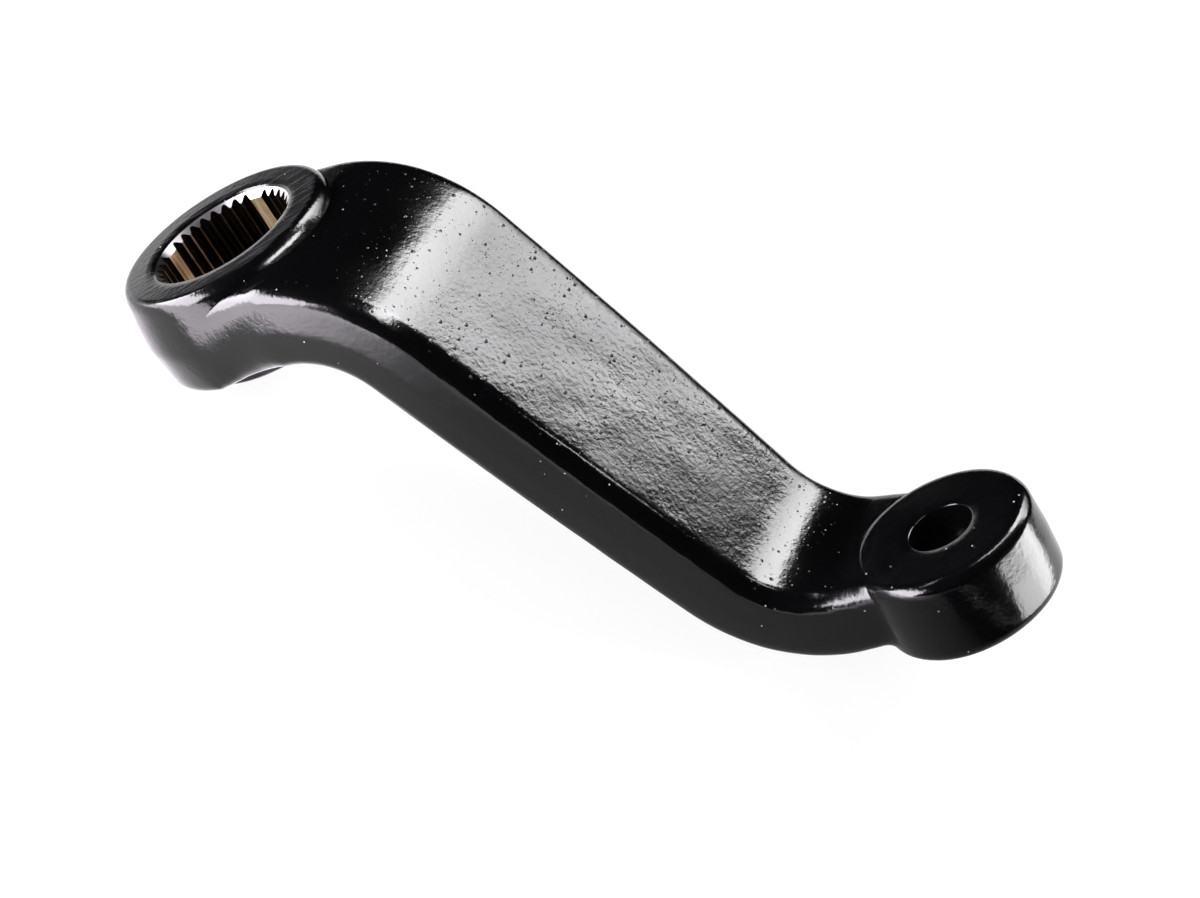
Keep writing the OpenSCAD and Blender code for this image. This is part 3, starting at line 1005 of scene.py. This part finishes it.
class PITMAN_OT_make_stage(Operator):
    """Lays the arm on a pale floor among softboxes, and sets the camera"""

    bl_idname = "pitman.make_stage"
    bl_label = "Make Stage"

    def execute(self, context):
        stage = context.scene.pitman_stage
        arm = bpy.data.objects.get("forged_arm")
        if arm is None:
            raise RuntimeError("make the arm before the stage")
        along, across, up, low = floor_frame(places(arm.data))
        add_floor(stage, along, across, up, low)
        middle = Vector((0.062, 0.0, -0.062))
        boss = Vector((0.0, 0.0, -0.013))
        eye = Vector((0.1255, 0.0, -0.122))

        def way(azimuth, elevation):
            a, e = math.radians(azimuth), math.radians(elevation)
            return (along * math.cos(a) + across * math.sin(a)) * math.cos(e) + up * math.sin(e)

        cool, lilac = (0.99, 0.985, 1.0), (0.98, 0.925, 1.0)
        pad_wall = Vector((0.0226, -0.0104, -0.0017))
        eye_rim = Vector((0.1415, -0.0080, -0.1125))
        back, right, left = stage.back_light, stage.right_light, stage.left_light
        near, spark = stage.near_light, stage.spark_light
        # name, what it faces, direction, distance, width, height, roll, radiance, soft edges, foot, tint
        boxes = [
            ("back_softbox", middle, way(79, 40), 1.0, 0.56, 1.05, -18, back, (0.25, 0.12), 0.05, cool),
            ("back_fill", middle, way(69, 32), 1.1, 0.42, 0.50, -121, back, (0.2, 0.3), 1.0, cool),
            ("right_fill", eye, way(15, 6), 0.42, 0.48, 0.19, 0, right * 0.6, (0.06, 0.12), 0.75, cool),
            ("right_window", eye, way(27, 6), 0.40, 0.16, 0.16, 0, right * 0.7, (0.08, 0.12), 0.85, cool),
            ("left_softbox", boss, way(-148, 8), 0.38, 0.64, 0.24, 0, left, (0.12, 0.2), 1.0, lilac),
            ("near_softbox", middle, way(-106, 21), 0.95, 0.50, 0.58, 0, near, (0.18, 0.18), 0.6, lilac),
            ("rim_card", eye_rim, way(146, 67), 0.078, 0.07, 0.016, -27, spark * 0.6, (0.3, 0.3), 1.0, cool),
            ("spark_card", pad_wall, way(-4, 58), 0.06, 0.075, 0.02, 0, spark, (0.2, 0.2), 1.0, cool),
        ]
        mirrored_only = {"rim_card", "spark_card"}
        never_mirrored = {"near_softbox"}
        for name, target, direction, distance, width, height, roll, strength, soft, foot, tint in boxes:
            box = card(name, target, direction, distance, width, height, up, roll)
            box.data.materials.append(softbox_material(name, strength, soft, foot, tint))
            if name in mirrored_only:
                hide_from_light(box)
            elif name in never_mirrored:
                box.visible_glossy = False
        # name, place along and across, height in millimetres, width, depth, soft edges, share of the radiance
        for name, x, y, over, width, depth, soft, share in (
            ("front_floor_light", -0.195, -0.283, 0.4, 0.51, 0.434, (0.12, 0.035), 0.85),
            ("left_floor_light", -0.25, -0.1175, 0.6, 0.36, 0.265, (0.14, 0.20), 0.9),
            ("under_floor_light", 0.02, 0.01, 0.2, 0.14, 0.09, (0.2, 0.2), 0.25),
        ):
            foot = along * x + across * y + up * (low + over * MM)
            lit = card(name, foot, up, 0.0, width, depth, across)
            hide_from_light(lit)
            lit.data.materials.append(softbox_material(name, stage.floor_light * share, soft, 1.0, lilac))
        add_drape(along, across, up, low)
        white_world()
        add_camera()
        context.scene.view_settings.view_transform = "Standard"
        return {"FINISHED"}


class PITMAN_PT_panel(Panel):
    """Sizes and finishes of the pitman arm, and what makes it"""

    bl_idname = "PITMAN_PT_panel"
    bl_label = "Pitman Arm"
    bl_space_type = "VIEW_3D"
    bl_region_type = "UI"
    bl_category = "Pitman Arm"

    def draw(self, context):
        scene = context.scene
        for settings in (scene.pitman_forging, scene.pitman_finish, scene.pitman_stage):
            box = self.layout.box()
            for name in settings.__annotations__:
                box.prop(settings, name)
        self.layout.operator(PITMAN_OT_make_arm.bl_idname)
        self.layout.operator(PITMAN_OT_make_stage.bl_idname)


CLASSES = (
    PITMAN_PG_forging,
    PITMAN_PG_finish,
    PITMAN_PG_stage,
    PITMAN_OT_make_arm,
    PITMAN_OT_make_stage,
    PITMAN_PT_panel,
)


def register():
    for cls in CLASSES:
        bpy.utils.register_class(cls)
    bpy.types.Scene.pitman_forging = PointerProperty(type=PITMAN_PG_forging)
    bpy.types.Scene.pitman_finish = PointerProperty(type=PITMAN_PG_finish)
    bpy.types.Scene.pitman_stage = PointerProperty(type=PITMAN_PG_stage)


def unregister():
    del bpy.types.Scene.pitman_stage
    del bpy.types.Scene.pitman_finish
    del bpy.types.Scene.pitman_forging
    for cls in reversed(CLASSES):
        bpy.utils.unregister_class(cls)


def main():
    register()
    bpy.ops.pitman.make_arm()
    bpy.ops.pitman.make_stage()


if __name__ == "__main__":
    main()
